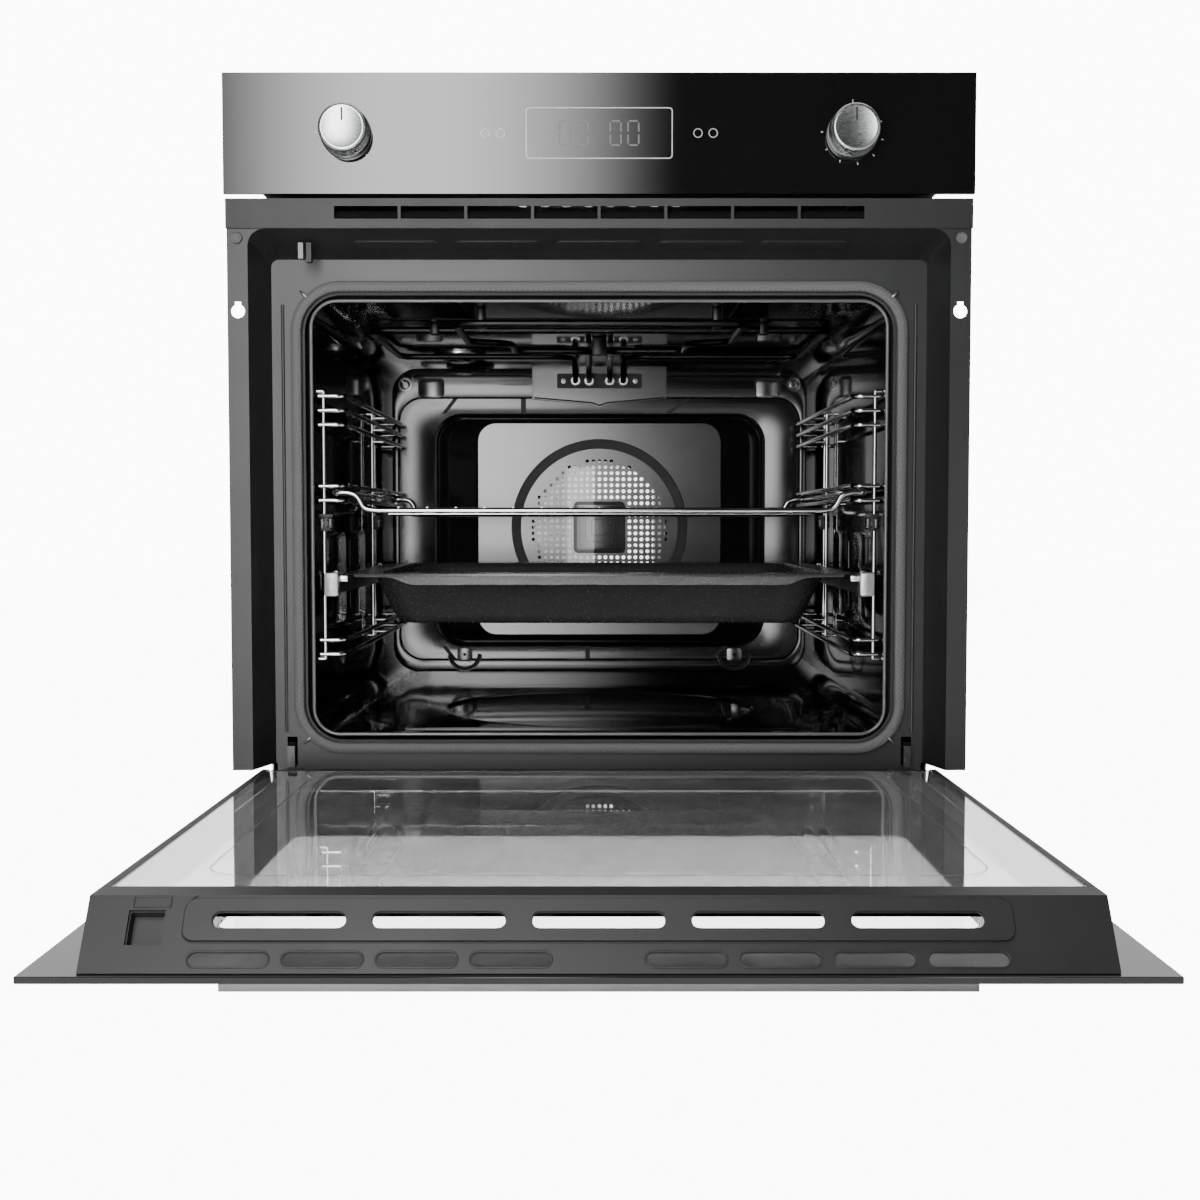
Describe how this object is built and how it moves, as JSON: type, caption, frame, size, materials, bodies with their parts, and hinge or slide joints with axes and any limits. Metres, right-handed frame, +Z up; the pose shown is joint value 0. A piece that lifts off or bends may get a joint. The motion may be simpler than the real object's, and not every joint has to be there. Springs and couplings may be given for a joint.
{
  "type": "wall oven",
  "caption": "Built-in electric wall oven with drop-down glass door, enamelled cavity, wire shelf, deep tray, fan, heating elements and control panel.",
  "frame": {"origin": "middle of the base panel's underside, in the plane of the front flanges' faces", "axes": "+X across the oven to the right as seen from the front, +Y into the oven from the front, +Z up"},
  "size_m": [0.595, 1.0215, 0.6006],
  "materials": {
    "frame_enamel": "satin dark grey enamel",
    "cavity_enamel": "glossy black vitreous enamel",
    "tray_enamel": "glossy dark enamel",
    "black_plastic": "fine moulded grain",
    "seal": "matt silicone",
    "heater_sheath": "oxidised nickel alloy sheath",
    "chrome_wire": "chromium plated wire",
    "rail_steel": "bright stainless steel",
    "hinge_steel": "nickel plated steel",
    "galvanised": "galvanised sheet",
    "mineral_wool": "mineral wool",
    "motor_steel": "lamination stack and zinc plate",
    "aluminium_wheel": "pressed aluminium",
    "white_ceramic": "steatite and glass-filled plastic",
    "black_glass": "black printed tempered glass",
    "clear_glass": "clear tempered glass",
    "door_inner_glass": "coated tempered glass with a black printed border",
    "display": "dark display window",
    "circuit_board": "glass-epoxy board",
    "knob_metal": "turned and brushed",
    "pull_metal": "brushed and anodised"
  },
  "bodies": {
    "cabinet": {"front_frame": "frame_enamel", "vent_strip": "black_plastic", "oven_gasket": "seal", "oven_cavity": "cavity_enamel", "cavity_back": "cavity_enamel", "fan_cover": "cavity_enamel", "ring_element": "heater_sheath", "grill_element": "heater_sheath", "upper_element": "heater_sheath", "bottom_element": "heater_sheath", "grill_bracket": "cavity_enamel", "temperature_probe": "chrome_wire", "lamp_lens": "clear_glass", "side_rack_left": "chrome_wire", "side_rack_right": "chrome_wire", "rail_fixed_left": "rail_steel", "rail_fixed_right": "rail_steel", "hinge_claw_left": "hinge_steel", "hinge_claw_right": "hinge_steel", "bumper_left": "seal", "bumper_right": "seal", "base_panel": "galvanised", "side_panel_left": "galvanised", "side_panel_right": "galvanised", "top_cover": "galvanised", "rear_cover": "galvanised", "insulation_blanket": "mineral_wool", "air_duct": "galvanised", "blower_housing": "galvanised", "blower_motor": "motor_steel", "fan_motor": "motor_steel", "terminal_block": "white_ceramic", "cable_gland": "black_plastic", "control_fascia": "black_glass", "panel_carrier": "black_plastic", "display_module": "display", "control_board": "circuit_board", "selector_left": "white_ceramic", "selector_right": "white_ceramic"},
    "door": {"outer_glass": "black_glass", "middle_glass": "clear_glass", "inner_glass": "door_inner_glass", "door_stile_left": "black_plastic", "door_stile_right": "black_plastic", "door_top_trim": "black_plastic", "vent_insert": "black_plastic", "bottom_rail": "black_plastic", "door_pull": "pull_metal", "hinge_channel_left": "galvanised", "hinge_channel_right": "galvanised"},
    "tray": {"baking_tray": "tray_enamel", "rail_inner_left": "rail_steel", "rail_inner_right": "rail_steel"},
    "shelf": {"wire_shelf": "chrome_wire"},
    "convection_fan": {"convection_fan": "aluminium_wheel"},
    "blower_rotor": {"blower_rotor": "aluminium_wheel"},
    "knob_left": {"knob_left": "knob_metal"},
    "knob_right": {"knob_right": "knob_metal"},
    "lock_hook": {"door_lock_hook": "hinge_steel"},
    "switch_lever": {"light_switch_lever": "black_plastic"}
  },
  "joints": [
    {"name": "door_hinge", "type": "hinge", "parent": "cabinet", "child": "door", "pos_m": [0, -0.00525, 0.00825], "axis": [-1, 0, 0], "range_deg": [0, 90]},
    {"name": "tray_slide", "type": "slide", "parent": "cabinet", "child": "tray", "axis": [0, 1, 0], "range_m": [-0.28, 0]},
    {"name": "shelf_slide", "type": "slide", "parent": "cabinet", "child": "shelf", "axis": [0, 1, 0], "range_m": [-0.23, 0]},
    {"name": "convection_fan_spin", "type": "hinge", "parent": "cabinet", "child": "convection_fan", "pos_m": [0, 0.49, 0.2356], "axis": [0, 1, 0], "continuous": true},
    {"name": "blower_spin", "type": "hinge", "parent": "cabinet", "child": "blower_rotor", "pos_m": [0, 0.43, 0.53], "axis": [1, 0, 0], "continuous": true},
    {"name": "function_knob_turn", "type": "hinge", "parent": "cabinet", "child": "knob_left", "pos_m": [-0.2, -0.0073, 0.54775], "axis": [0, 1, 0], "range_deg": [0, 315]},
    {"name": "temperature_knob_turn", "type": "hinge", "parent": "cabinet", "child": "knob_right", "pos_m": [0.2, -0.0073, 0.54775], "axis": [0, 1, 0], "range_deg": [0, 270]},
    {"name": "lock_hook_swing", "type": "hinge", "parent": "cabinet", "child": "lock_hook", "pos_m": [-0.2405, 0.015, 0.466], "axis": [1, 0, 0], "range_deg": [-8, 0], "stiffness_Nm_per_rad": 0.02},
    {"name": "light_switch_press", "type": "hinge", "parent": "cabinet", "child": "switch_lever", "pos_m": [-0.234, 0.015, 0.466], "axis": [1, 0, 0], "range_deg": [0, 8], "stiffness_Nm_per_rad": 0.02}
  ]
}
